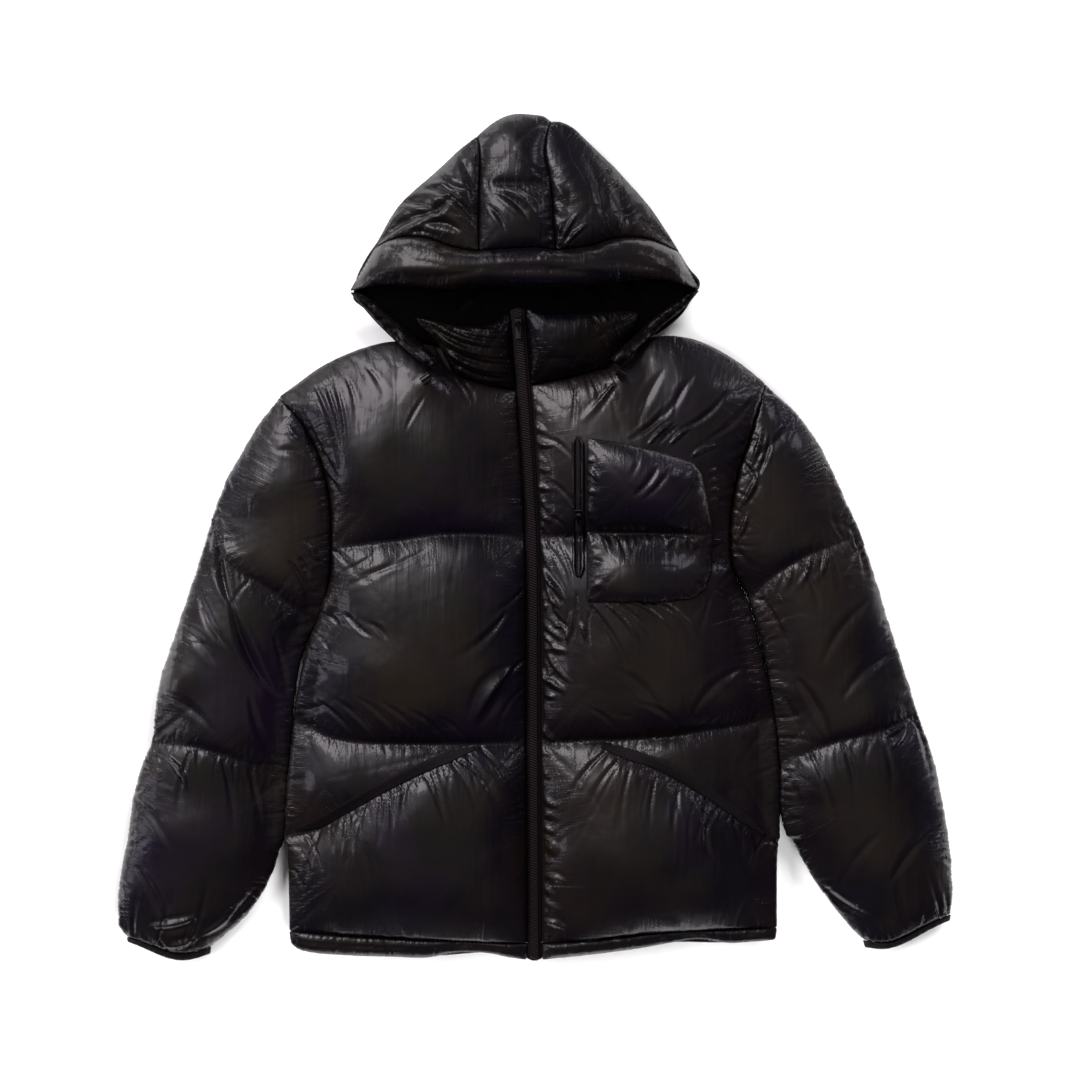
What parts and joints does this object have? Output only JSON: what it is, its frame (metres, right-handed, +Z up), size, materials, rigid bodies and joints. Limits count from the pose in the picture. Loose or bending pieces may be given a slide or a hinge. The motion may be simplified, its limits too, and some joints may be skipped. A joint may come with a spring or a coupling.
{
  "type": "puffer jacket",
  "caption": "Hooded puffer jacket laid flat and zipped up, with wide padded baffles, a stand collar, slanting hand pockets and a padded chest pocket.",
  "frame": {"origin": "on the surface that the jacket lies on, below the middle of its footprint", "axes": "+X to the wearer's left sleeve, +Y from the hem up to the hood, +Z up out of the jacket's front"},
  "size_m": [0.9714, 0.9806, 0.0959],
  "materials": {
    "shell_nylon": "glossy calendered nylon",
    "zip_tape": "matte woven polyester",
    "elastic_binding": "matte knitted elastic",
    "slider_zinc": "satin black paint on zinc",
    "moulded_nylon": "satin"
  },
  "bodies": {
    "jacket": {"back": "shell_nylon", "hem_band_back": "shell_nylon", "front_right": "shell_nylon", "front_left": "shell_nylon", "hem_band_right": "shell_nylon", "hem_band_left": "shell_nylon", "sleeve_right": "shell_nylon", "sleeve_left": "shell_nylon", "collar_right": "shell_nylon", "collar_left": "shell_nylon", "hood_edge_right": "shell_nylon", "hood_edge_left": "shell_nylon", "hood_back": "shell_nylon", "hood_right": "shell_nylon", "hood_centre": "shell_nylon", "hood_left": "shell_nylon", "hood_brim": "shell_nylon", "chest_pocket": "shell_nylon", "welt_right": "zip_tape", "welt_left": "zip_tape", "chest_zip": "zip_tape", "pocket_tab": "zip_tape", "front_zip": "zip_tape", "cuff_right": "elastic_binding", "cuff_left": "elastic_binding", "front_zip_slider": "slider_zinc", "chest_zip_slider": "slider_zinc", "cord_lock_right": "moulded_nylon", "cord_lock_left": "moulded_nylon"},
    "front_pull": {"front_zip_pull": "slider_zinc"},
    "chest_pull": {"chest_zip_pull": "slider_zinc"}
  },
  "joints": [
    {"name": "front_pull_swing", "type": "hinge", "parent": "jacket", "child": "front_pull", "pos_m": [-0.01961, 0.25068, 0.0511], "axis": [-1, 0, 0], "range_deg": [0, 150]},
    {"name": "chest_pull_swing", "type": "hinge", "parent": "jacket", "child": "chest_pull", "pos_m": [0.04975, 0.02568, 0.07737], "axis": [-1, 0, 0], "range_deg": [0, 150]}
  ]
}
